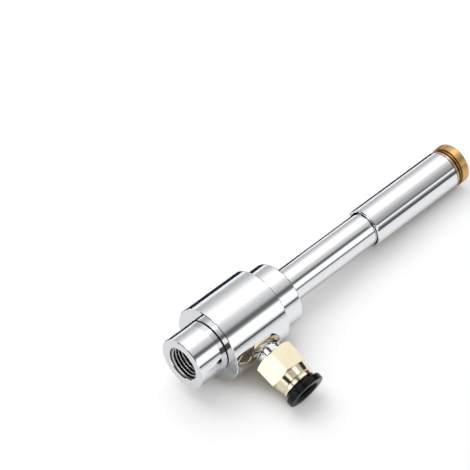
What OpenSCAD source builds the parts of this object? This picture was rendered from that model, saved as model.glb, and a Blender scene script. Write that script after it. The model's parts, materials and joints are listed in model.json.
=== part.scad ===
// Vortex tube: compressed air enters from the side, spins in the swirl generator and
// leaves as a cold stream through the threaded nose and a hot stream past the brass valve.
// The tube lies along +X, from the cold outlet face at the origin to the hot end.
// The inlet fitting leaves the body to -Y and a little downwards; +Z is up.

/* [Body] */
// Outer diameter of the body
body_d = 30; // [28:0.5:36]
// Length of the body
body_len = 26.3; // [25:0.1:32]
// Bore through the body, threaded at both ends
bore_d = 18; // [17:0.5:19]
// Diameter of the air ring cut in the bore round the swirl generator
plenum_d = 22.5; // [20:0.5:24]
// Rounding of the body's rear edge
body_edge = 0.6; // [0.2:0.1:1.5]

/* [Cold end cap] */
// Outer diameter of the nose
nose_d = 20.4; // [19.5:0.1:24]
// Length of the nose in front of its seal
nose_len = 12.2; // [11:0.1:18]
// Wall diameter of the threaded cold outlet
outlet_d = 13.16; // [11.4:0.01:14]
// Depth of the cold outlet's thread
outlet_depth = 11; // [8:0.5:14]
// Mouth chamfer of the cold outlet
outlet_chamfer = 0.27; // [0.1:0.01:0.6]
// Bore of the cold air passage
cold_passage_d = 8; // [5:0.5:9]
// Length of the cap's spigot inside the body
cap_spigot_len = 10.8; // [8:0.1:12]
// Thickness of the seal between the nose and the body
seal_t = 0.4; // [0.2:0.1:1]
// Depth of the seal's edge behind the nose's side
seal_inset = 0.1; // [0.05:0.05:0.4]

/* [Swirl generator] */
// Thickness of the orifice disc
disc_t = 1.6; // [1:0.1:3]
// Cold orifice diameter
orifice_d = 4.6; // [3:0.1:7]
// Outer diameter of the swirl generator and the orifice disc
generator_d = 16.8; // [15:0.1:16.9]
// Length of the swirl generator
generator_len = 7; // [6:0.1:8]
// Number of tangential nozzles
nozzle_count = 6; // [3:1:8]
// Width of a nozzle
nozzle_w = 1.1; // [0.6:0.1:1.6]
// Depth of a nozzle along the tube
nozzle_depth = 2.6; // [1.5:0.1:3.5]

/* [Hot tube and gland nut] */
// Outer diameter of the hot tube
tube_d = 13.4; // [12.6:0.1:14]
// Bore of the hot tube and the swirl chamber
tube_bore = 10; // [8:0.1:10.5]
// Thickness of the tube's flange inside the body
flange_t = 2; // [1.5:0.1:3]
// Turned-down diameter at the tube's hot end
tube_end_d = 11.8; // [11.4:0.1:12.2]
// Outer diameter of the gland nut
gland_d = 24.5; // [20:0.1:27]
// Length of the gland nut outside the body
gland_len = 9.45; // [6:0.05:14]
// Rounding of the gland nut's rear edge
gland_edge = 0.8; // [0.2:0.1:2]

/* [Sleeve and valve] */
// Distance from the gland nut to the sleeve's mouth
sleeve_stand_off = 44.9; // [20:0.1:60]
// Outer diameter of the sleeve
sleeve_d = 15.95; // [15.5:0.05:18]
// Bore of the sleeve
sleeve_bore = 14.5; // [14.2:0.1:15]
// Length of the sleeve
sleeve_len = 43.8; // [36:0.1:60]
// Mouth chamfer of the sleeve
sleeve_chamfer = 0.25; // [0.1:0.05:0.35]
// Length of the lip that closes in on the tube at the sleeve's mouth
lip_len = 2; // [1:0.1:4]
// Length of the ribbed bush between the tube and the sleeve
bush_len = 8; // [5:0.5:12]
// Number of ribs on the bush
rib_count = 8; // [4:1:10]
// Width of a rib
rib_w = 2.2; // [1:0.1:3]
// Diameter of the valve's round head
valve_head_d = 16.3; // [15:0.1:20]
// Length of the valve's head
valve_head_len = 3.6; // [3:0.1:8]
// Rounding of the head's outer edge
valve_edge = 0.7; // [0.3:0.1:1.2]
// Neck left showing between the sleeve and the head
valve_out = 2.9; // [2.5:0.1:5]
// Diameter of the collar that stops the valve at the sleeve
valve_collar_d = 15.4; // [15.2:0.1:15.8]
// Width of the collar
valve_collar_w = 0.9; // [0.6:0.1:1.2]
// Hexagon socket in the head, across flats
key_af = 6; // [4:0.5:8]
// Depth of the hexagon socket
key_depth = 4; // [2:0.1:6]
// Core diameter of the valve's thread
valve_core_d = 12.9; // [12:0.1:13.4]
// Length of the valve's thread inside the sleeve
valve_thread_in = 5; // [4:0.1:8]
// Length of the plain guide ahead of the thread
valve_guide_len = 4.5; // [3.5:0.1:7]
// Space between the tube's end and the valve's guide
exhaust_gap = 3.5; // [2.5:0.1:5]
// Length of the valve's cone
cone_len = 12; // [8:0.1:16]
// Diameter of the cone where it meets the guide
cone_base_d = 11; // [10.6:0.1:11.4]
// Diameter of the cone's tip
cone_tip_d = 3; // [1:0.1:5]

/* [Inlet fitting] */
// Angle of the fitting below the horizontal
inlet_drop = 13.2; // [0:0.1:45]
// Turn of the fitting's hexagon about its own axis
hex_turn = 56; // [0:1:59]
// Hole in the body for the fitting
port_d = 8.8; // [8:0.1:9]
// Length of the fitting's shank
shank_len = 6.3; // [5:0.1:6.6]
// Length of the shank that shows outside the body
shank_out = 2.3; // [1.5:0.1:4]
// Diameter of the fitting's grooved neck outside the body
neck_d = 10.2; // [9.2:0.1:13]
// Size of the fitting's hexagon across flats
hex_af = 15; // [14:0.5:17]
// Length of the fitting's hexagon
hex_len = 9.4; // [7:0.1:12]
// Length of the turned shoulder beyond the hexagon
shoulder_len = 3.3; // [2.5:0.1:6]
// End diameter of the turned shoulder
shoulder_d = 13.5; // [13.2:0.1:14]
// Bore of the air passage in the shank
inlet_passage_d = 6; // [4:0.1:7]
// Bore for the air tube
socket_d = 8.3; // [8.2:0.05:8.5]
// Length of the bore that holds the air tube's end
socket_len = 4; // [3:0.1:5]
// Bore of the chamber for the seal and the grip collet
chamber_d = 11.4; // [11.2:0.1:11.6]
// Thickness of the tube seal
tube_seal_t = 2.4; // [1.5:0.1:3]
// Thickness of the back ring
back_ring_t = 0.9; // [0.6:0.1:1.2]
// Length of the grip collet
collet_t = 1.5; // [1.4:0.1:2]
// Number of claws on the grip collet
claw_count = 8; // [6:1:12]
// Height of the retainer ring outside the fitting
retainer_out = 1.7; // [1.5:0.1:2.5]
// Outer diameter of the retainer ring
retainer_d = 13.2; // [13:0.1:13.8]
// Diameter of the release sleeve's neck
release_neck_d = 12; // [11.6:0.1:12.2]
// Diameter of the release sleeve's flange
release_d = 15.4; // [14:0.1:18]
// Thickness of the release sleeve's flange
release_t = 2.6; // [2:0.1:4]
// Diameter of the funnel at the release sleeve's mouth
funnel_d = 10.2; // [9:0.1:11]
// Distance the release sleeve can be pressed in
release_travel = 1; // [0.5:0.1:1.2]

/* [Fits] */
// Gap round pieces that screw or press together
thread_gap = 0.1; // [0.05:0.01:0.15]
// Gap round pieces that slide or turn
slide_gap = 0.15; // [0.1:0.01:0.2]
// Gap round a seated seal
seal_gap = 0.02; // [0.01:0.01:0.05]
// Section of the O-rings
o_ring_w = 1.4; // [1:0.1:1.6]
// Small break on turned edges
edge_break = 0.2; // [0.1:0.05:0.3]

/* [Hidden] */
round_fn = 96;

// Stations along the tube
body_x = nose_len + seal_t;
body_end = body_x + body_len;
cap_end = body_x + cap_spigot_len;
generator_x = cap_end + disc_t;
generator_end = generator_x + generator_len;
flange_end = generator_end + flange_t;
gland_end = body_end + gland_len;
sleeve_x = gland_end + sleeve_stand_off;
sleeve_end = sleeve_x + sleeve_len;
head_x = sleeve_end + valve_out;
head_end = head_x + valve_head_len;
collar_x = sleeve_end + 2 * slide_gap;
collar_end = collar_x + valve_collar_w;
ridge_end = head_x - 1.5 * edge_break;
ridge_x = ridge_end - 2 * edge_break;
guide_end = sleeve_end - valve_thread_in;
guide_x = guide_end - valve_guide_len;
tube_end = guide_x - exhaust_gap;
bush_end = tube_end - edge_break * 5;
bush_x = bush_end - bush_len;
inlet_x = generator_x + generator_len / 2;

// Radii shared by pieces that meet
spigot_r = bore_d / 2 - thread_gap;
tube_r = tube_d / 2;
lip_r = (tube_r + sleeve_bore / 2) / 2;
guide_r = sleeve_bore / 2 - slide_gap;
groove_w = o_ring_w + 2 * slide_gap;
groove_depth = o_ring_w + 2 * seal_gap;
disc_ring_r = (cold_passage_d / 2 + generator_d / 2) / 2;
generator_ring_r = (tube_bore / 2 + generator_d / 2) / 2;
gland_ring_r = tube_r + thread_gap + groove_w / 2;
valve_groove_r = guide_r - o_ring_w - slide_gap / 2;

// Stations along the fitting, measured from the tube's axis
hex_base = body_d / 2 + shank_out;
neck_base = body_d / 2 + slide_gap;
shank_start = hex_base - shank_len;
port_floor = shank_start - 2 * edge_break;
hex_top = hex_base + hex_len;
shoulder_end = hex_top + shoulder_len;
retainer_end = shoulder_end + retainer_out;
retainer_cup = retainer_end - release_travel - 3 * thread_gap;
release_neck = retainer_cup + release_travel + thread_gap;
release_back = retainer_end + release_travel + slide_gap;
release_face = release_back + release_t;
collet_top = shoulder_end - retainer_out;
collet_base = collet_top - collet_t;
seal_top = collet_base - back_ring_t;
seal_base = seal_top - tube_seal_t;
socket_base = seal_base - socket_len;
claw_tip = collet_base + collet_t / 2;
release_start = claw_tip + release_travel + slide_gap;

function corner(centre, r, from, to, steps = 6) =
    [for (i = [0 : steps]) let (a = from + (to - from) * i / steps) centre + r * [cos(a), sin(a)]];

// A solid turned about the tube's axis, from a profile of [radius, station] points
module turned(profile) {
    rotate([0, 90, 0])
        rotate_extrude($fn = round_fn)
            polygon(profile);
}

// The same for pieces on the fitting's axis
module on_inlet() {
    translate([inlet_x, 0, 0])
        rotate([90 + inlet_drop, 0, 0])
            children();
}

module turned_on_inlet(profile) {
    on_inlet()
        rotate_extrude($fn = round_fn)
            polygon(profile);
}

module o_ring(x, r) {
    color("#1c1c1e")
        translate([x, 0, 0])
            rotate([0, 90, 0])
                rotate_extrude($fn = round_fn)
                    translate([r, 0])
                        circle(d = o_ring_w, $fn = 48);
}

// Hexagon of a given size across flats, along +Z
module hexagon(across_flats, from, to) {
    translate([0, 0, from])
        cylinder(d = across_flats / cos(30), h = to - from, $fn = 6);
}

module body() {
    r = body_d / 2;
    bore_r = bore_d / 2;
    profile = concat(
        [[bore_r, body_x], [r - edge_break, body_x], [r, body_x + edge_break]],
        corner([r - body_edge, body_end - body_edge], body_edge, 0, 90),
        [[bore_r, body_end], [bore_r, generator_end], [plenum_d / 2, generator_end],
         [plenum_d / 2, generator_x], [bore_r, generator_x]]);
    color("#d9dce0")
        difference() {
            turned(profile);
            on_inlet() {
                translate([0, 0, port_floor])
                    cylinder(d = port_d, h = body_d, $fn = round_fn);
                translate([0, 0, bore_r])
                    cylinder(d = inlet_passage_d, h = body_d, $fn = round_fn);
            }
        }
}

module cold_end_cap() {
    nose_r = nose_d / 2;
    wall_r = outlet_d / 2;
    passage_r = cold_passage_d / 2;
    passage_x = outlet_depth + (wall_r - passage_r);
    groove_x = cap_end - groove_depth;
    color("#dadde1")
        turned([
            [wall_r + outlet_chamfer, 0], [nose_r - edge_break, 0], [nose_r, edge_break],
            [nose_r, nose_len], [spigot_r, nose_len], [spigot_r, cap_end],
            [disc_ring_r + groove_w / 2, cap_end], [disc_ring_r + groove_w / 2, groove_x],
            [disc_ring_r - groove_w / 2, groove_x], [disc_ring_r - groove_w / 2, cap_end],
            [passage_r, cap_end], [passage_r, passage_x], [wall_r, outlet_depth],
            [wall_r, outlet_chamfer]]);
}

module cold_cap_seal() {
    outer_r = nose_d / 2 - seal_inset;
    inner_r = bore_d / 2;
    color("#161618")
        turned([[inner_r, nose_len], [outer_r, nose_len], [outer_r, body_x], [inner_r, body_x]]);
}

module orifice_disc() {
    disc_r = generator_d / 2;
    hole_r = orifice_d / 2;
    color("#c9a24a")
        turned([
            [hole_r + disc_t / 2, cap_end], [disc_r, cap_end], [disc_r, generator_x],
            [hole_r, generator_x], [hole_r, cap_end + disc_t / 2]]);
}

module disc_o_ring() {
    o_ring(cap_end - groove_depth / 2, disc_ring_r);
}

// Nozzles run in along tangents of the swirl chamber and are closed by the orifice disc
module swirl_generator() {
    ring_r = generator_d / 2;
    chamber_r = tube_bore / 2;
    groove_x = generator_end - groove_depth;
    color("#ece8dc")
        difference() {
            turned([
                [chamber_r, generator_x], [ring_r, generator_x], [ring_r, generator_end],
                [generator_ring_r + groove_w / 2, generator_end],
                [generator_ring_r + groove_w / 2, groove_x],
                [generator_ring_r - groove_w / 2, groove_x],
                [generator_ring_r - groove_w / 2, generator_end], [chamber_r, generator_end]]);
            for (i = [0 : nozzle_count - 1])
                rotate([i * 360 / nozzle_count, 0, 0])
                    translate([generator_x - nozzle_depth, chamber_r - nozzle_w, 0])
                        cube([2 * nozzle_depth, nozzle_w, generator_d]);
        }
}

module generator_o_ring() {
    o_ring(generator_end - groove_depth / 2, generator_ring_r);
}

module hot_tube() {
    bore_r = tube_bore / 2;
    end_r = tube_end_d / 2;
    color("#d7dade")
        turned([
            [bore_r, generator_end], [spigot_r, generator_end], [spigot_r, flange_end],
            [tube_r, flange_end], [tube_r, bush_x], [end_r, bush_x], [end_r, tube_end],
            [bore_r + edge_break, tube_end], [bore_r, tube_end - edge_break]]);
}

module hot_tube_o_ring() {
    o_ring(flange_end + groove_depth / 2, gland_ring_r);
}

module gland_nut() {
    r = gland_d / 2;
    hole_r = tube_r + thread_gap;
    groove_r = gland_ring_r + groove_w / 2;
    profile = concat(
        [[hole_r, flange_end + groove_depth], [groove_r, flange_end + groove_depth],
         [groove_r, flange_end], [spigot_r, flange_end], [spigot_r, body_end],
         [r - edge_break, body_end], [r, body_end + edge_break]],
        corner([r - gland_edge, gland_end - gland_edge], gland_edge, 0, 90),
        [[hole_r + edge_break, gland_end], [hole_r, gland_end - edge_break]]);
    color("#d5d8dc")
        turned(profile);
}

module sleeve() {
    r = sleeve_d / 2;
    bore_r = sleeve_bore / 2;
    color("#dadde1")
        turned([
            [lip_r + sleeve_chamfer, sleeve_x], [r - sleeve_chamfer, sleeve_x],
            [r, sleeve_x + sleeve_chamfer], [r, sleeve_end - edge_break],
            [r - edge_break, sleeve_end], [bore_r, sleeve_end], [bore_r, sleeve_x + lip_len],
            [lip_r, sleeve_x + lip_len], [lip_r, sleeve_x + sleeve_chamfer]]);
}

// Ribs centre the sleeve on the tube and leave channels for the hot air
module spacer_bush() {
    inner_r = tube_end_d / 2 + seal_gap;
    outer_r = sleeve_bore / 2 - seal_gap;
    floor_r = (inner_r + outer_r) / 2;
    color("#b9bcc0")
        difference() {
            turned([[inner_r, bush_x], [outer_r, bush_x], [outer_r, bush_end], [inner_r, bush_end]]);
            difference() {
                turned([
                    [floor_r, bush_x - edge_break], [sleeve_d, bush_x - edge_break],
                    [sleeve_d, bush_end + edge_break], [floor_r, bush_end + edge_break]]);
                for (i = [0 : rib_count - 1])
                    rotate([i * 360 / rib_count, 0, 0])
                        translate([bush_x - 2 * edge_break, -rib_w / 2, 0])
                            cube([bush_len + 4 * edge_break, rib_w, 2 * sleeve_d]);
            }
        }
}

// Cone, guide with its groove, threaded neck, collar, ridge and round head in one piece
module hot_valve() {
    head_r = valve_head_d / 2;
    core_r = valve_core_d / 2;
    collar_r = valve_collar_d / 2;
    ridge_r = collar_r - edge_break;
    ring_x = (guide_x + guide_end) / 2;
    profile = concat(
        [[0, guide_x - cone_len], [cone_tip_d / 2, guide_x - cone_len],
         [cone_base_d / 2, guide_x], [guide_r - edge_break, guide_x],
         [guide_r, guide_x + edge_break], [guide_r, ring_x - groove_w / 2],
         [valve_groove_r, ring_x - groove_w / 2], [valve_groove_r, ring_x + groove_w / 2],
         [guide_r, ring_x + groove_w / 2], [guide_r, guide_end], [core_r, guide_end],
         [core_r, collar_x], [collar_r, collar_x], [collar_r, collar_end], [core_r, collar_end],
         [core_r, ridge_x], [ridge_r, ridge_x], [ridge_r, ridge_end], [core_r, ridge_end],
         [core_r, head_x], [head_r - edge_break, head_x], [head_r, head_x + edge_break]],
        corner([head_r - valve_edge, head_end - valve_edge], valve_edge, 0, 90),
        [[0, head_end]]);
    color("#c79a3e")
        difference() {
            turned(profile);
            rotate([0, 90, 0])
                hexagon(key_af, head_end - key_depth, head_end + edge_break);
        }
}

module valve_o_ring() {
    o_ring((guide_x + guide_end) / 2, valve_groove_r + slide_gap / 2 + o_ring_w / 2);
}

// Hexagon bar with chamfered corners, turned down to a shoulder at its outer end
module fitting_body() {
    corner_r = hex_af / 2 / cos(30) + edge_break;
    face_r = hex_af / 2 - edge_break;
    base_chamfer = (corner_r - face_r) * tan(30);
    top_chamfer = (corner_r - face_r) * tan(20);
    shank_r = port_d / 2 - thread_gap;
    neck_r = neck_d / 2;
    neck_floor_r = neck_r - 1.5 * edge_break;
    neck_groove = neck_base + shank_out / 3;
    passage_r = inlet_passage_d / 2;
    socket_r = socket_d / 2;
    chamber_r = chamber_d / 2;
    end_r = shoulder_d / 2;
    color("#e6dcc4")
        difference() {
            union() {
                on_inlet()
                    intersection() {
                        rotate([0, 0, hex_turn])
                            hexagon(hex_af, hex_base - edge_break, shoulder_end + edge_break);
                        rotate_extrude($fn = round_fn)
                            polygon([
                                [0, hex_base], [face_r, hex_base], [corner_r, hex_base + base_chamfer],
                                [corner_r, hex_top - top_chamfer], [face_r, hex_top],
                                [end_r, shoulder_end - edge_break], [end_r - edge_break, shoulder_end],
                                [0, shoulder_end]]);
                    }
                turned_on_inlet([
                    [0, shank_start], [shank_r - edge_break, shank_start],
                    [shank_r, shank_start + edge_break], [shank_r, neck_base], [neck_r, neck_base],
                    [neck_r, neck_groove], [neck_floor_r, neck_groove],
                    [neck_floor_r, neck_groove + 1.5 * edge_break],
                    [neck_r, neck_groove + 1.5 * edge_break], [neck_r, hex_base + edge_break],
                    [0, hex_base + edge_break]]);
            }
            turned_on_inlet([
                [0, shank_start - edge_break], [passage_r, shank_start - edge_break],
                [passage_r, socket_base], [socket_r, socket_base], [socket_r, seal_base],
                [chamber_r, seal_base], [chamber_r, shoulder_end + edge_break],
                [0, shoulder_end + edge_break]]);
        }
}

module tube_seal() {
    inner_r = socket_d / 2;
    outer_r = chamber_d / 2 - seal_gap;
    lip = (outer_r - inner_r) / 3;
    color("#1a1a1c")
        turned_on_inlet([
            [inner_r, seal_base], [outer_r, seal_base], [outer_r, seal_top],
            [inner_r + lip, seal_top], [inner_r + lip, seal_top - lip], [inner_r, seal_top - 2 * lip]]);
}

module back_ring() {
    inner_r = socket_d / 2 + 3 * slide_gap;
    outer_r = chamber_d / 2 - seal_gap;
    color("#e8e6e0")
        turned_on_inlet([
            [inner_r, seal_top], [outer_r, seal_top], [outer_r, collet_base], [inner_r, collet_base]]);
}

// Outer band with claws that lean inwards to grip the air tube
module grip_collet() {
    tip_r = socket_d / 2;
    outer_r = chamber_d / 2 - seal_gap;
    band_r = outer_r - 2 * edge_break;
    slot_w = 3 * edge_break;
    color("#c4c8cc")
        difference() {
            turned_on_inlet([
                [band_r, collet_top], [outer_r, collet_top], [outer_r, collet_base],
                [band_r, collet_base], [tip_r, claw_tip - edge_break], [tip_r, claw_tip],
                [band_r, collet_base + 2 * edge_break]]);
            on_inlet()
                for (i = [0 : claw_count - 1])
                    rotate([0, 0, i * 360 / claw_count])
                        translate([0, -slot_w / 2, collet_base - edge_break])
                            cube([band_r, slot_w, collet_t + 2 * edge_break]);
        }
}

module retainer_ring() {
    spigot_out_r = chamber_d / 2 - thread_gap;
    inner_r = socket_d / 2 + 5 * slide_gap;
    cup_r = release_neck_d / 2 + slide_gap;
    rim_r = retainer_d / 2;
    color("#e3d3a8")
        turned_on_inlet([
            [inner_r, collet_top], [spigot_out_r, collet_top], [spigot_out_r, shoulder_end],
            [rim_r - edge_break, shoulder_end], [rim_r - edge_break, shoulder_end + edge_break],
            [rim_r, shoulder_end + 2 * edge_break], [rim_r, retainer_end - edge_break],
            [rim_r - edge_break, retainer_end], [cup_r, retainer_end], [cup_r, retainer_cup],
            [inner_r, retainer_cup]]);
}

module release_sleeve() {
    bore_r = socket_d / 2;
    stem_r = bore_r + 4 * slide_gap;
    neck_r = release_neck_d / 2;
    rim_r = release_d / 2;
    round_r = release_t / 5;
    funnel_r = funnel_d / 2;
    profile = concat(
        [[bore_r, release_start], [stem_r, release_start], [stem_r, release_neck],
         [neck_r, release_neck], [neck_r, release_back]],
        corner([rim_r - round_r, release_back + round_r], round_r, -90, 0),
        corner([rim_r - round_r, release_face - round_r], round_r, 0, 90),
        [[funnel_r, release_face], [bore_r, release_face - (funnel_r - bore_r)]]);
    color("#202123")
        turned_on_inlet(profile);
}

body();
cold_end_cap();
cold_cap_seal();
orifice_disc();
disc_o_ring();
swirl_generator();
generator_o_ring();
hot_tube();
hot_tube_o_ring();
gland_nut();
sleeve();
spacer_bush();
hot_valve();
valve_o_ring();
fitting_body();
retainer_ring();
release_sleeve();
grip_collet();
back_ring();
tube_seal();
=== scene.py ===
# %% [markdown]
# # A vortex tube, from bare solids to a studio picture
# Compressed air enters at the side, spins, and leaves cold at the threaded nose and hot at the
# brass valve. The turned solids come from the CAD model and stay exactly where they are.
# What is left for Blender is the screw threads, the finishes, the light and the camera.

# %% Load the solids
import json
import math

import bpy
import numpy as np
from mathutils import Matrix, Vector


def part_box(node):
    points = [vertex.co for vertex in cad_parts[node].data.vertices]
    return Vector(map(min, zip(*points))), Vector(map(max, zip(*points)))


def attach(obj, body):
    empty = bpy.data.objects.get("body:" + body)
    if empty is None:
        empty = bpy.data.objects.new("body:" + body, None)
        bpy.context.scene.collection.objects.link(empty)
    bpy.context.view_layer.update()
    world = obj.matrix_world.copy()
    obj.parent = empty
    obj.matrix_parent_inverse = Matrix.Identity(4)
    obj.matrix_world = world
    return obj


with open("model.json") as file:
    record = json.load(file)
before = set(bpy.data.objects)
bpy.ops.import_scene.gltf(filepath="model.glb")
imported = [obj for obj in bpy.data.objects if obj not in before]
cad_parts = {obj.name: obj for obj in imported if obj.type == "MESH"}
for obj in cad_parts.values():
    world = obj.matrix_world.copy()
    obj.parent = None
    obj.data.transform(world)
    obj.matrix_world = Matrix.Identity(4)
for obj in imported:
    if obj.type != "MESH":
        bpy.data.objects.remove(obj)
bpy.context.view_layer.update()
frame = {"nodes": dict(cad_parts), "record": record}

MM = 0.001
nodes = frame["nodes"]
scene = bpy.context.scene
print("solids:", ", ".join(sorted(nodes)))

# %% [markdown]
# ## The camera
# The picture is taken from above the nose with a long lens, so the tube hardly narrows with
# distance. A camera could be aimed with a constraint, but a place and two directions say it
# completely: where it stands, where it looks, and which way its right-hand side points.

# %% Camera
def laid_at(place, x, z):
    """Axes at a place, with X and Z along two directions that are square to each other."""
    return Matrix.Translation(place) @ Matrix((x, z.cross(x), z)).transposed().to_4x4()


camera_place = Vector((-341.0, -326.63, 622.31)) * MM
backwards = -Vector((0.48399, 0.43521, -0.75917)).normalized()
right_side = Vector((0.71123, -0.70107, 0.05152))
right_side = (right_side - backwards * right_side.dot(backwards)).normalized()

lens = bpy.data.cameras.new("long_lens")
lens.sensor_width = 36.0
lens.lens = 170.05
lens.clip_start, lens.clip_end = 0.05, 20.0
camera = bpy.data.objects.new("camera", lens)
camera.matrix_world = laid_at(camera_place, right_side, backwards)
scene.collection.objects.link(camera)
scene.camera = camera
print("camera stands", round(camera_place.length, 3), "m from the nose")

# %% [markdown]
# ## Writing node trees as sums
# Materials, the world and Geometry Nodes are all trees of nodes. Linking them by hand takes many
# lines, so a socket is wrapped in a small class that knows plus, minus, times and divided by. Each
# sum adds one Math node to the tree that the socket belongs to.

# %% Sockets that can be added and multiplied
class Socket:
    def __init__(self, web, plug):
        self.web, self.plug = web, plug

    def _sum(self, operation, first, second):
        return self.web.node("ShaderNodeMath", {"operation": operation}, [first, second])

    def __add__(self, other):
        return self._sum("ADD", self, other)

    def __sub__(self, other):
        return self._sum("SUBTRACT", self, other)

    def __rsub__(self, other):
        return self._sum("SUBTRACT", other, self)

    def __mul__(self, other):
        return self._sum("MULTIPLY", self, other)

    def __truediv__(self, other):
        return self._sum("DIVIDE", self, other)

    def __pow__(self, other):
        return self._sum("POWER", self, other)

    __radd__ = __add__
    __rmul__ = __mul__

    def least(self, other):
        return self._sum("MINIMUM", self, other)

    def most(self, other):
        return self._sum("MAXIMUM", self, other)


print("sockets can be added and multiplied")

# %% [markdown]
# ## One method for every node
# A node takes its settings first, such as a Math node's operation or a ramp's stops, and then a
# number or a link for each socket. One method does this for every kind of node, so a tree reads as a
# list of steps. A number goes on the socket itself, and only what varies is linked.

# %% Trees with one node method
class Web:
    def __init__(self, tree):
        self.tree = tree

    def node(self, kind, settings=None, inputs=None, output=0):
        made = self.tree.nodes.new(kind)
        for name, value in (settings or {}).items():
            if name == "stops":
                set_stops(made.color_ramp, value)
            else:
                setattr(made, name, value)
        pairs = inputs.items() if isinstance(inputs, dict) else enumerate(inputs or [])
        for key, value in pairs:
            if isinstance(value, Socket):
                self.tree.links.new(value.plug, made.inputs[key])
            else:
                made.inputs[key].default_value = value
        return Socket(self, made.outputs[output]) if made.outputs else None


def set_stops(ramp, stops):
    while len(ramp.elements) > 1:
        ramp.elements.remove(ramp.elements[-1])
    for i, (place, level) in enumerate(stops):
        stop = ramp.elements[0] if i == 0 else ramp.elements.new(place)
        stop.position = place
        stop.color = (level, level, level, 1.0)


print("any node can be made in one line")

# %% [markdown]
# ## A finish starts from the surface's own place
# Every finish reads Object coordinates. The solids sit at the origin, so these are metres in the
# frame of the tube: X runs along it, which is just what marks left by a lathe need. Each finish
# ends in one Principled surface.

# %% Start and end of a finish
def start_finish(name):
    material = bpy.data.materials.new(name)
    material.use_nodes = True
    material.node_tree.nodes.clear()
    web = Web(material.node_tree)
    place = web.node("ShaderNodeTexCoord", output="Object")
    return material, web, place


def end_finish(web, fixed, varying):
    """A Principled surface: plain numbers on its own sockets, and links for what varies."""
    surface = web.node("ShaderNodeBsdfPrincipled", {}, {**fixed, **varying})
    web.node("ShaderNodeOutputMaterial", {}, {"Surface": surface})


def part_of(web, vector, letter):
    return web.node("ShaderNodeSeparateXYZ", {}, [vector], output=letter)


def from_axis(web, place):
    """How far a place is from the tube's axis."""
    across, upward = part_of(web, place, "Y"), part_of(web, place, "Z")
    return (across * across + upward * upward) ** 0.5


print("a finish can be started and ended")

# %% [markdown]
# ## Patterns, masks and blends
# Real metal is never quite even. Noise in three dimensions gives cloudy patches, and noise along one
# line gives the streaks of a lathe. A mask is 1 inside some limit and 0 outside it, with a hard or a
# soft edge, and a blend uses it to go from one colour to another.

# %% Patterns, masks and blends
def noise(web, place, scale, detail=2.0, roughness=0.5):
    return web.node("ShaderNodeTexNoise", {"noise_dimensions": "3D"},
                    {"Vector": place, "Scale": scale, "Detail": detail, "Roughness": roughness})


def streaks(web, along, scale, detail=3.0):
    return web.node("ShaderNodeTexNoise", {"noise_dimensions": "1D"},
                    {"W": along, "Scale": scale, "Detail": detail})


def below(web, value, limit):
    return web.node("ShaderNodeMath", {"operation": "LESS_THAN"}, [value, limit])


def climb(web, value, low, high):
    """From 0 at the low value to 1 at the high one."""
    return web.node("ShaderNodeMapRange", {"interpolation_type": "SMOOTHSTEP"},
                    {"Value": value, "From Min": low, "From Max": high})


def reach(web, place, aim):
    """How far a place or a direction lies along an aim."""
    return web.node("ShaderNodeVectorMath", {"operation": "DOT_PRODUCT"}, [place, aim],
                    output="Value")


def blend(web, share, first, second):
    colors = [color if isinstance(color, Socket) else (*color, 1.0) for color in (first, second)]
    return web.node("ShaderNodeMix", {"data_type": "RGBA"},
                    {"Factor": share, 6: colors[0], 7: colors[1]}, output=2)


def bumps(web, height, depth, strength):
    return web.node("ShaderNodeBump", {},
                    {"Height": height, "Distance": depth, "Strength": strength})


print("patterns, masks and blends are ready")

# %% [markdown]
# ## Chrome plate
# The body, nose, nut, tube and sleeve are mirror-bright chrome over turned metal. A perfect mirror
# looks like a computer's chrome, so the polish is given a faint haze in patches, and hairline rings
# from the lathe and the buffing wheel, which run round the tube and so change along X only. In the
# nose the thread's grooves are painted dark, as painted shade, so that the crests stand out bright.

# %% Chrome
mounts = {mount["name"]: mount for mount in frame["record"]["mounts"]}
OUTLET_ROOT = mounts["cold_outlet"]["dims"]["r_mm"] * MM
OUTLET_CREST = OUTLET_ROOT - 0.83 * MM
GROOVE_STARTS, GROOVE_FULL = OUTLET_CREST + 0.10 * MM, OUTLET_CREST + 0.40 * MM
NOSE_RADIUS = OUTLET_ROOT + 0.04 * MM
NOSE_DEPTH = (mounts["cold_outlet"]["dims"]["length_mm"] + 0.77) * MM
CHROME_TONES = (0.75, 0.76, 0.78), (0.81, 0.815, 0.825)
# painted shade: the dark colour given to the bottom of the nose's thread
GROOVE_SHADE_TONE = (0.17, 0.16, 0.14)


def chrome_finish():
    material, web, place = start_finish("chrome_plate")
    along, radius = part_of(web, place, "X"), from_axis(web, place)
    haze = noise(web, place, 160.0, detail=3.0)
    rings = streaks(web, along, 9000.0)
    in_nose = below(web, radius, NOSE_RADIUS) * below(web, along, NOSE_DEPTH)
    # painted shade: deep in the nose's thread the chrome turns dark, and the crests stay bright
    groove_shade = in_nose * climb(web, radius, GROOVE_STARTS, GROOVE_FULL)
    end_finish(web, {"Metallic": 1.0},
               {"Base Color": blend(web, groove_shade, blend(web, haze, *CHROME_TONES), GROOVE_SHADE_TONE),
                "Roughness": 0.025 + 0.03 * haze + 0.01 * rings + 0.20 * in_nose,
                "Normal": bumps(web, rings, depth=0.004 * MM, strength=0.25)})
    return material


chrome = chrome_finish()
print("made", chrome.name)

# %% [markdown]
# ## Brass and nickel
# The valve is bare brass with the marks of its turning still on it. Its neck, sunk between the sleeve
# and the head, is painted dark brown as painted shade, and the stop ring next to the sleeve is painted
# paler as a painted highlight. The inlet fitting is brass with a thin bright nickel plate, which keeps
# a warm, champagne tone, and its shank is silver. Each of these three places is a small function that
# answers with 1 inside it and 0 outside.

# %% Places with their own tone or painted light
inlet_axis = Vector(mounts["inlet_tube"]["axis"])
sleeve_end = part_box("sleeve")[1].x
SHANK_END = 17.25 * MM
NECK_RADIUS = 7.3 * MM
STOP_RING_END = sleeve_end + 1.3 * MM


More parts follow.
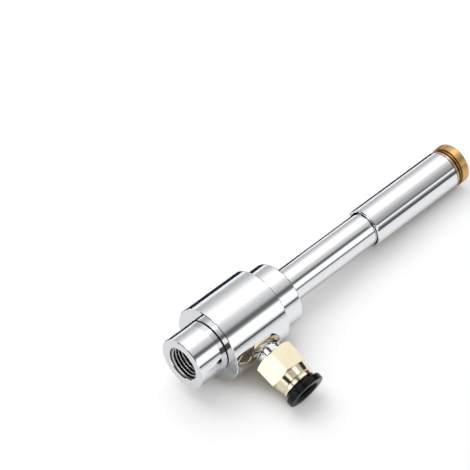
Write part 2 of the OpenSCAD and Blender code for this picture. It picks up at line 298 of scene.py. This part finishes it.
def shank(web, place):
    return below(web, reach(web, place, inlet_axis), SHANK_END)


# painted shade: the thin neck between the sleeve and the head is given a dark brown colour
def shaded_neck(web, place):
    return below(web, from_axis(web, place), NECK_RADIUS)


# painted highlight: the ring next to the sleeve's end is given a paler colour
def lit_stop_ring(web, place):
    return below(web, part_of(web, place, "X"), STOP_RING_END) * (1 - shaded_neck(web, place))


print("sleeve ends", round(sleeve_end / MM, 2), "mm from the nose")

# %% [markdown]
# ## One recipe for turned metal
# Brass, nickel, the pale ring at the inlet's mouth and the stainless pieces inside all come off a
# lathe, so they share one finish: two tones in patches, and turning marks that change along X. Only
# the tones, the polish and the depth of the marks differ from metal to metal.

# %% Turned metals
def turned_metal(name, light, dark, polish, mark_scale, mark_depth, tones_and_painted_light=()):
    material, web, place = start_finish(name)
    patches = noise(web, place, 220.0, detail=4.0)
    marks = streaks(web, part_of(web, place, "X"), mark_scale)
    color = blend(web, patches, dark, light)
    # colours laid over given places: the silver shank is its own tone, the others are painted light
    for inside, tone_or_light in tones_and_painted_light:
        color = blend(web, inside(web, place), color, tone_or_light)
    end_finish(web, {"Metallic": 1.0},
               {"Base Color": color, "Roughness": polish + 0.08 * patches + 0.05 * marks,
                "Normal": bumps(web, marks, mark_depth, strength=0.4)})
    return material


brass = turned_metal("brass", light=(0.67, 0.42, 0.165), dark=(0.56, 0.33, 0.115), polish=0.25,
                     mark_scale=4200.0, mark_depth=0.012 * MM,
                     # the neck's dark brown is painted shade and the stop ring's pale colour is a
                     # painted highlight
                     tones_and_painted_light=[(shaded_neck, (0.32, 0.13, 0.03)), (lit_stop_ring, (0.54, 0.39, 0.25))])
nickel = turned_metal("nickel_plate", light=(0.87, 0.79, 0.60), dark=(0.80, 0.70, 0.50), polish=0.045,
                      mark_scale=5200.0, mark_depth=0.004 * MM, tones_and_painted_light=[(shank, (0.86, 0.85, 0.84))])
pale_brass = turned_metal("pale_brass", light=(0.90, 0.84, 0.68), dark=(0.82, 0.74, 0.55), polish=0.13,
                          mark_scale=5200.0, mark_depth=0.008 * MM)
stainless = turned_metal("stainless", light=(0.66, 0.67, 0.69), dark=(0.56, 0.57, 0.59), polish=0.22,
                         mark_scale=3600.0, mark_depth=0.010 * MM)
print("made", brass.name, nickel.name, pale_brass.name, stainless.name)

# %% [markdown]
# ## Plastic and rubber
# The release collar is black moulded plastic with the fine grain of its mould. Seals are matt
# rubber with a dusty bloom, and the swirl generator inside is off-white acetal.

# %% Plastic and rubber
def moulded(name, light, dark, polish, grain_scale, grain_depth):
    material, web, place = start_finish(name)
    grain = noise(web, place, grain_scale, detail=3.0, roughness=0.6)
    patches = noise(web, place, 300.0, detail=3.0)
    end_finish(web, {"Metallic": 0.0, "IOR": 1.25},
               {"Base Color": blend(web, patches, dark, light),
                "Roughness": polish + 0.12 * patches,
                "Normal": bumps(web, grain, grain_depth, strength=0.5)})
    return material


black_plastic = moulded("black_plastic", light=(0.005, 0.005, 0.006), dark=(0.002, 0.002, 0.003),
                        polish=0.14, grain_scale=6000.0, grain_depth=0.006 * MM)
black_rubber = moulded("black_rubber", light=(0.028, 0.028, 0.028), dark=(0.014, 0.014, 0.014),
                       polish=0.55, grain_scale=5000.0, grain_depth=0.04 * MM)
white_plastic = moulded("white_plastic", light=(0.86, 0.84, 0.79), dark=(0.78, 0.76, 0.70),
                        polish=0.36, grain_scale=4500.0, grain_depth=0.02 * MM)
print("made", black_plastic.name, black_rubber.name, white_plastic.name)

# %% [markdown]
# ## Dressing the solids
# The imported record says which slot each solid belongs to, so the finishes are dealt out from it and
# no solid can be forgotten.

# %% Finishes on the solids
finish_of = {"chrome_plate": chrome, "brass": brass, "nickel_plate": nickel, "pale_brass": pale_brass,
             "black_plastic": black_plastic, "black_rubber": black_rubber,
             "white_plastic": white_plastic, "stainless": stainless}
for subpart in frame["record"]["subparts"]:
    solid = nodes[subpart["node"]]
    solid.data.materials.clear()
    solid.data.materials.append(finish_of[subpart["material_slot"]])

# %% [markdown]
# ## Screw threads
# A thread is one ridge wound round a cylinder. It could be modelled by hand or with a Screw
# modifier, but in Geometry Nodes it is a spiral path with a four-sided ridge swept along it, and the
# same tree makes an inside and an outside thread. The tree asks for its sizes by name.

# %% The thread's named sizes
SIZES = ("Turns", "Pitch", "Ridge radius", "Ridge height", "Root width", "Crest width", "Run-out",
         "Crest side")
thread_nodes = bpy.data.node_groups.new("screw_thread", "GeometryNodeTree")
asks = thread_nodes.interface
asks.new_socket("Geometry", in_out="INPUT", socket_type="NodeSocketGeometry")
for name in SIZES:
    asks.new_socket(name, in_out="INPUT", socket_type="NodeSocketFloat")
asks.new_socket("Finish", in_out="INPUT", socket_type="NodeSocketMaterial")
asks.new_socket("Geometry", in_out="OUTPUT", socket_type="NodeSocketGeometry")
thread = Web(thread_nodes)
given = thread_nodes.nodes.new("NodeGroupInput")
asked = {plug.name: Socket(thread, plug) for plug in given.outputs if plug.name}
print("the thread tree asks for", ", ".join(SIZES))

# %% [markdown]
# ## The thread's path
# The ridge follows a spiral of even radius. At both ends a cut thread runs out, so over the last part
# of a turn the path sinks into the metal. The spline's own factor, from 0 at its start to 1 at its
# end, says how near an end is.

# %% The path
FADE_PER_TURN = 2.5
path = thread.node("GeometryNodeCurveSpiral", {},
                   {"Resolution": 96, "Rotations": asked["Turns"], "Reverse": True,
                    "Start Radius": asked["Ridge radius"], "End Radius": asked["Ridge radius"],
                    "Height": asked["Turns"] * asked["Pitch"]})
along = thread.node("GeometryNodeSplineParameter", output="Factor")
sunk = (1 - along.least(1 - along) * asked["Turns"] * FADE_PER_TURN).most(0.0)
flat = thread.node("ShaderNodeVectorMath", {"operation": "MULTIPLY"},
                   [thread.node("GeometryNodeInputPosition"), (1.0, 1.0, 0.0)])
outwards = thread.node("ShaderNodeVectorMath", {"operation": "NORMALIZE"}, [flat])
shift = thread.node("ShaderNodeVectorMath", {"operation": "SCALE"},
                    {0: outwards, "Scale": sunk * asked["Run-out"]})
path = thread.node("GeometryNodeSetPosition", {}, {"Geometry": path, "Offset": shift})
path = thread.node("GeometryNodeSetCurveNormal", {"mode": "Z_UP"}, {"Curve": path})
print("the path takes", len(thread_nodes.nodes), "nodes")

# %% [markdown]
# ## The thread's ridge
# The ridge's corners are rounded, as on a pipe thread, so that each crest catches a line of light,
# and its foot is buried in the metal. Where the path sinks, the ridge thins out to almost nothing.
# The tree ends by making real faces and giving them their finish.

# %% The ridge and its sweep
ROUNDING, THINNING = 0.17, 0.95
ridge = thread.node("GeometryNodeCurvePrimitiveQuadrilateral", {"mode": "TRAPEZOID"},
                    {"Height": asked["Ridge height"], "Bottom Width": asked["Root width"],
                     "Top Width": asked["Crest width"], "Offset": 0.0})
ridge = thread.node("GeometryNodeFilletCurve", {"mode": "POLY"},
                    {"Curve": ridge, "Count": 4, "Radius": asked["Pitch"] * ROUNDING,
                     "Limit Radius": True})
quarter_turn = thread.node("ShaderNodeCombineXYZ", {}, {"Z": asked["Crest side"] * (-math.pi / 2)})
ridge = thread.node("GeometryNodeTransform", {}, {"Geometry": ridge, "Rotation": quarter_turn})
swept = thread.node("GeometryNodeCurveToMesh", {},
                    {"Curve": path, "Profile Curve": ridge, "Scale": 1 - sunk * THINNING,
                     "Fill Caps": True})
single = thread.node("GeometryNodeRealizeInstances", {}, [swept])
dressed = thread.node("GeometryNodeSetMaterial", {},
                      {"Geometry": single, "Material": asked["Finish"]})
thread.node("NodeGroupOutput", {}, [dressed])
print("the thread tree has", len(thread_nodes.nodes), "nodes")

# %% [markdown]
# ## Winding a thread
# The tree's sizes are worked out from what a maker would give: pitch, turns, and the radius at the
# root and at the crest. A crest inside its root makes an inside thread. Each ridge is made along Z,
# turned into a plain mesh and then laid on its own axis.

# %% A wound ridge as a plain mesh
BURIED = 0.45 * MM
CREST_SHARE = 0.22
FLANK = math.radians(27.5)
SHARP_EDGE = math.radians(40)


def wind_thread(name, finish, body, axis, pitch, turns, root_r, crest_r):
    side = 1.0 if crest_r > root_r else -1.0
    height = abs(crest_r - root_r) + BURIED
    crest = CREST_SHARE * pitch
    sizes = {"Turns": turns, "Pitch": pitch, "Ridge radius": crest_r - side * height / 2,
             "Ridge height": height, "Root width": crest + 2 * height * math.tan(FLANK),
             "Crest width": crest, "Run-out": -side * height / 2, "Crest side": side,
             "Finish": finish}
    piece = bpy.data.objects.new(name, bpy.data.meshes.new(name))
    scene.collection.objects.link(piece)
    winding = piece.modifiers.new("winding", "NODES")
    winding.node_group = thread_nodes
    for item in thread_nodes.interface.items_tree:
        if item.in_out == "INPUT" and item.name in sizes:
            winding[item.identifier] = sizes[item.name]
    shown = piece.evaluated_get(bpy.context.evaluated_depsgraph_get())
    plain_mesh = bpy.data.meshes.new_from_object(shown)
    piece.modifiers.remove(winding)
    piece.data = plain_mesh
    plain_mesh.name = name
    plain_mesh.transform(axis)
    plain_mesh.shade_smooth()
    plain_mesh.set_sharp_from_angle(angle=SHARP_EDGE)
    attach(piece, body)
    print(name, "has", len(plain_mesh.polygons), "faces")


print("a thread can be wound")

# %% [markdown]
# ## The three threads
# The cold outlet has a pipe thread inside the nose, and the inlet fitting has a smaller one on its
# shank inside the body. The valve's thread is hidden in the sleeve until the valve is opened, so it
# rides on the valve. All are right-handed.

# %% The three threads
def axis_frame(start, direction, turned=0.0):
    """Lays Z along a direction, from a starting point, and turns X about it by some degrees."""
    z = Vector(direction).normalized()
    x = Vector((1.0, 0.0, 0.0)) if abs(z.x) < 0.9 else Vector((0.0, 0.0, -1.0))
    return laid_at(start, x, z) @ Matrix.Rotation(math.radians(turned), 4, "Z")


TUBE_AXIS = (1, 0, 0)
inlet_start = Vector((mounts["inlet_tube"]["pos_m"][0], 0.0, 0.0))
wind_thread("outlet_thread", chrome, "housing",
            axis_frame((0.36 * MM, 0, 0), TUBE_AXIS, turned=-132.0),
            pitch=1.337 * MM, turns=7.6, root_r=OUTLET_ROOT, crest_r=OUTLET_CREST)
wind_thread("inlet_thread", nickel, "housing",
            axis_frame(inlet_start + inlet_axis * 11.6 * MM, inlet_axis),
            pitch=0.907 * MM, turns=3.3, root_r=4.3 * MM, crest_r=4.86 * MM)
wind_thread("valve_thread", brass, "valve",
            axis_frame((sleeve_end - 4.2 * MM, 0, 0), TUBE_AXIS),
            pitch=1.5 * MM, turns=2.5, root_r=6.45 * MM, crest_r=7.08 * MM)

# %% [markdown]
# ## Three feet
# Nothing holds the tube up but the edge of its body, the valve's head and the inlet's collar. The
# floor is the plane through those three feet, found by looking for each one's lowest point, tilting
# the plane to them, and looking again.

# %% Three feet
FOOT_GAP = 0.02 * MM


def corners(node):
    flat_list = np.empty(len(nodes[node].data.vertices) * 3, np.float32)
    nodes[node].data.vertices.foreach_get("co", flat_list)
    return flat_list.reshape(-1, 3).astype(float)


feet_on = {node: corners(node) for node in ("body", "hot_valve", "release_sleeve")}
up = np.array((0.0, 0.0, 1.0))
for _ in range(6):
    feet = [points[np.argmin(points @ up)] for points in feet_on.values()]
    up = np.cross(feet[1] - feet[0], feet[2] - feet[0])
    up = up / np.linalg.norm(up) * np.sign(up[2])
lowest = min((points @ up).min() for points in feet_on.values())
floor_z = Vector(up)
floor_x = (Vector((1.0, 0.0, 0.0)) - floor_z * floor_z.x).normalized()
on_floor = laid_at(floor_z * float(lowest - FOOT_GAP), floor_x, floor_z)
print("floor leans", round(math.degrees(math.acos(up[2])), 2), "degrees, feet at",
      [np.round(foot / MM, 1).tolist() for foot in feet])

# %% [markdown]
# ## The paper floor
# The tube lies on white paper. The paper glows a little for the camera, so that it stays white, and
# its own shading keeps the soft shadow. In a nook, such as the one between the body and the inlet,
# little sky reaches the paper, so there the glow is cut and the paper is painted a darker brown: a
# painted contact shadow, warmed like light from the metal. Ambient occlusion measures how much sky is
# left.

# %% Floor
WHITE = (1.0, 1.0, 1.0, 1.0)
PAPER_TONES = (0.84, 0.84, 0.845), (0.87, 0.87, 0.87)
# painted shade: the warm brown the paper is given where little sky reaches it
NOOK_PAINTED_SHADE = (0.56, 0.50, 0.41)
NOOK_REACH = 16.0 * MM
SEEN_GLOW, MIRRORED_GLOW = 0.42, 0.04


def stage_sheet(name, low, high, finish, lift=0.0, laid=on_floor):
    """A flat sheet on the floor or elsewhere, from its low to its high corner in metres."""
    mesh = bpy.data.meshes.new(name)
    mesh.from_pydata([(low[0], low[1], lift), (high[0], low[1], lift),
                      (high[0], high[1], lift), (low[0], high[1], lift)], [], [(0, 1, 2, 3)])
    mesh.materials.append(finish)
    sheet = bpy.data.objects.new(name, mesh)
    sheet.matrix_world = laid
    scene.collection.objects.link(sheet)
    print("laid", name)
    return sheet


def floor_finish():
    material, web, place = start_finish("white_floor")
    tone = blend(web, noise(web, place, 30.0), *PAPER_TONES)
    sky = web.node("ShaderNodeAmbientOcclusion", {"samples": 8}, {"Distance": NOOK_REACH}, output="AO")
    # painted contact shadow: where little sky is left, the paper is painted brown and loses its glow
    open_sky = climb(web, sky, 0.17, 0.56)
    paper = web.node("ShaderNodeBsdfDiffuse", {}, {"Color": blend(web, open_sky, NOOK_PAINTED_SHADE, tone)})
    glow = web.node("ShaderNodeEmission", {}, {"Color": WHITE, "Strength": 1.0})
    camera_ray = web.node("ShaderNodeLightPath", output="Is Camera Ray")
    glossy_ray = web.node("ShaderNodeLightPath", output="Is Glossy Ray")
    share = camera_ray * open_sky * SEEN_GLOW + glossy_ray * MIRRORED_GLOW
    seen = web.node("ShaderNodeMixShader", {}, [share, paper, glow])
    web.node("ShaderNodeOutputMaterial", {}, {"Surface": seen})
    return material


stage_sheet("floor", (-6.0, -6.0), (6.0, 6.0), floor_finish())

# %% [markdown]
# ## Cards for the outlines
# In a studio a black card lies behind a chrome tube, so that its far edge mirrors something dark and
# stands out from the white table. It reaches closer in behind the slim tube than behind the body.
# A grey card before the nose takes the glare off the front faces. All are seen by reflections only.

# %% Cards
def card_finish(name, light, dark):
    material, web, place = start_finish(name)
    tone = noise(web, place, 40.0)
    card = web.node("ShaderNodeBsdfDiffuse", {}, {"Color": blend(web, tone, dark, light)})
    web.node("ShaderNodeOutputMaterial", {}, {"Surface": card})
    return material


def mirrors_only(sheet):
    sheet.visible_camera = False
    sheet.visible_diffuse = False
    sheet.visible_shadow = False


CARD_LIFT = 0.3 * MM
black_card = card_finish("black_card", light=(0.03, 0.03, 0.05), dark=(0.012, 0.012, 0.03))
grey_card = card_finish("grey_card", light=(0.74, 0.74, 0.74), dark=(0.70, 0.70, 0.70))
CARDS = [("body_card", (-0.10, 0.035), (0.055, 0.095), black_card),
         ("nut_card", (0.055, 0.042), (0.095, 0.100), black_card),
         ("tube_card", (0.055, 0.0155), (0.30, 0.050), black_card),
         ("nose_card", (-0.08, -0.05), (0.004, 0.035), grey_card)]
for name, low, high, finish in CARDS:
    mirrors_only(stage_sheet(name, low, high, finish, lift=CARD_LIFT))

# %% [markdown]
# ## A striped board for the sleeve
# The sleeve mirrors other stripes than the slim tube: a narrow white one between two dark ones. A
# small board hangs beside it, just long enough for the sleeve alone. Each stripe is given by its
# height on the board in millimetres and by how bright it is, and a ramp joins them.

# %% Striped board
STRIPES = [(-13.0, 0.90), (-11.4, 0.62), (-9.8, 0.20), (-8.6, 0.09), (-6.9, 0.08), (-5.0, 0.15),
           (-3.0, 0.24), (-1.2, 0.42), (0.2, 0.78), (1.4, 1.15), (2.6, 1.20), (3.6, 0.95),
           (4.8, 0.50), (5.9, 0.22), (7.4, 0.16), (8.8, 0.24), (10.2, 0.38), (12.5, 0.43),
           (16.1, 0.46), (19.9, 0.54), (21.5, 0.56)]
BOARD_LOW = Vector((108.0, STRIPES[0][0])) * MM
BOARD_HIGH = Vector((155.5, STRIPES[-1][0])) * MM
BOARD_LEAN, BOARD_DISTANCE = math.radians(60.0), 30.0 * MM


def ramp_of(web, value, levels):
    """A ramp through pairs of a value and a brightness, and the strength it is to be shown at."""
    first, last = levels[0][0], levels[-1][0]
    brightest = max(level for _, level in levels)
    stops = [((at - first) / (last - first), level / brightest) for at, level in levels]
    share = (value - first) / (last - first)
    return web.node("ShaderNodeValToRGB", {"stops": stops}, [share]), brightest


def board_finish():
    material, web, place = start_finish("striped_board")
    stripes, brightest = ramp_of(web, part_of(web, place, "Y") / MM, STRIPES)
    glow = web.node("ShaderNodeEmission", {}, {"Color": stripes, "Strength": brightest})
    web.node("ShaderNodeOutputMaterial", {}, {"Surface": glow})
    return material


hung = Matrix.Rotation(BOARD_LEAN, 4, "X") @ Matrix.Translation((0.0, 0.0, BOARD_DISTANCE))
mirrors_only(stage_sheet("sleeve_board", BOARD_LOW, BOARD_HIGH, board_finish(), laid=hung))

# %% [markdown]
# ## The light tent
# Chrome shows only what stands round it. The tube lies in a tent whose panels run along it, so what
# a panel looks like depends on one thing: the angle about the tube, from the near horizon (0), over
# the top (90), to the far horizon (180). One ramp over that angle holds all the panels.

# %% Panels along the tube
PANELS = [(0, 0.92), (3, 0.80), (5, 0.13), (10, 0.14), (14, 0.92), (18, 1.27), (42, 1.27), (47, 0.39),
          (52, 0.15), (59, 0.17), (64, 0.46), (68, 0.62), (78, 0.77), (88, 0.99), (96, 1.32),
          (100, 3.0), (108, 3.0), (112, 1.32), (132, 1.32), (147, 0.90), (158, 0.69), (168, 0.58),
          (180, 0.69)]
world = bpy.data.worlds.new("light_tent")
world.use_nodes = True
world.node_tree.nodes.clear()
scene.world = world
tent = Web(world.node_tree)


def plain(color, strength):
    return tent.node("ShaderNodeBackground", {}, {"Color": color, "Strength": strength})


direction = tent.node("ShaderNodeTexCoord", output="Generated")
ahead = part_of(tent, direction, "X")
near = part_of(tent, direction, "Y") * -1.0
height = part_of(tent, direction, "Z")
angle = tent.node("ShaderNodeMath", {"operation": "ARCTAN2"}, [height, near])
mirrored = plain(*ramp_of(tent, angle * math.degrees(1.0), PANELS))
print("the tent has", len(PANELS), "stops")

# %% [markdown]
# ## The tent's two ends
# Beyond the nose the tent's end is white with one dark band, which draws black lines on the edges
# that face it. The far end is dark up to half its height. Each end begins where a direction points
# far enough along the tube, and each band lies between two heights.

# %% Ends of the tent
DARK = (0.8, 0.8, 1.0, 1.0)
SHADE = 0.05


def mixed(share, first, second):
    return tent.node("ShaderNodeMixShader", {}, [share, first, second])


dark, bright = plain(DARK, SHADE), plain(WHITE, 1.3)
far_end = climb(tent, ahead, 0.74, 0.82) * (1 - climb(tent, height, 0.52, 0.66))
mirrored = mixed(far_end, mirrored, dark)
nose_end = mixed(climb(tent, height, 0.15, 0.25), bright, dark)
nose_end = mixed(climb(tent, height, 0.50, 0.62), nose_end, bright)
mirrored = mixed(climb(tent, ahead * -1.0, 0.51, 0.62), mirrored, nose_end)
print("the tent has two ends")

# %% [markdown]
# ## Small panels and flags
# One brighter panel by the nose lights the flats of the inlet's hexagon, and a second one overhead
# lights its shoulder. The place overhead where the camera stands is dark. A dark flag at the near
# side takes the glare off the hexagon's mirror image in the body. Each spot has an aim, the cosines
# at which it starts and is full, a colour and a strength.

# %% Spots in the tent
SPOTS = {"camera_shade": ((-0.234, 0.03, 0.972), 0.974, 0.988, DARK, SHADE),
         "nose_panel": ((-0.958, 0.212, 0.188), 0.955, 0.98, WHITE, 1.6),
         "top_panel": ((0.235, -0.341, 0.910), 0.974, 0.988, WHITE, 1.6),
         "near_flag": ((-0.543, -0.835, 0.0905), 0.945, 0.975, (1.0, 0.9, 0.8, 1.0), 0.1)}
for aim, starts, full, color, strength in SPOTS.values():
    spot = climb(tent, reach(tent, direction, aim), starts, full)
    mirrored = mixed(spot, mirrored, plain(color, strength))
print("spots:", ", ".join(SPOTS))

# %% [markdown]
# ## What each ray sees
# Only reflections see the tent. The camera looks into plain white, and everything else is lit by an
# even, slightly cool sky, so that colours come out about as they are written.

# %% World
sky_light, backdrop = plain((0.97, 0.98, 1.0, 1.0), 0.52), plain(WHITE, 1.0)
glossy_ray = tent.node("ShaderNodeLightPath", output="Is Glossy Ray")
camera_ray = tent.node("ShaderNodeLightPath", output="Is Camera Ray")
seen = mixed(camera_ray, mixed(glossy_ray, sky_light, mirrored), backdrop)
tent.node("ShaderNodeOutputWorld", {}, {"Surface": seen})
print("the world has", len(world.node_tree.nodes), "nodes")

# %% [markdown]
# ## The lamp
# One large lamp high behind the tube gives the soft shadow on the near side. It is left out of the
# reflections, which belong to the tent.

# %% Lamp
lamp_place, lamp_aim = Vector((-0.02, 0.38, 0.95)), Vector((0.06, 0.0, 0.0))
lamp_light = bpy.data.lights.new("key_panel", "AREA")
lamp_light.shape = "RECTANGLE"
lamp_light.size, lamp_light.size_y = 0.9, 0.8
lamp_light.energy = 10.0
lamp = bpy.data.objects.new("key_panel", lamp_light)
lamp.location = lamp_place
lamp.rotation_euler = (lamp_place - lamp_aim).to_track_quat("Z", "Y").to_euler()
lamp.visible_glossy = False
scene.collection.objects.link(lamp)
scene.view_settings.view_transform = "Standard"
print("lamp of", lamp_light.energy, "W")
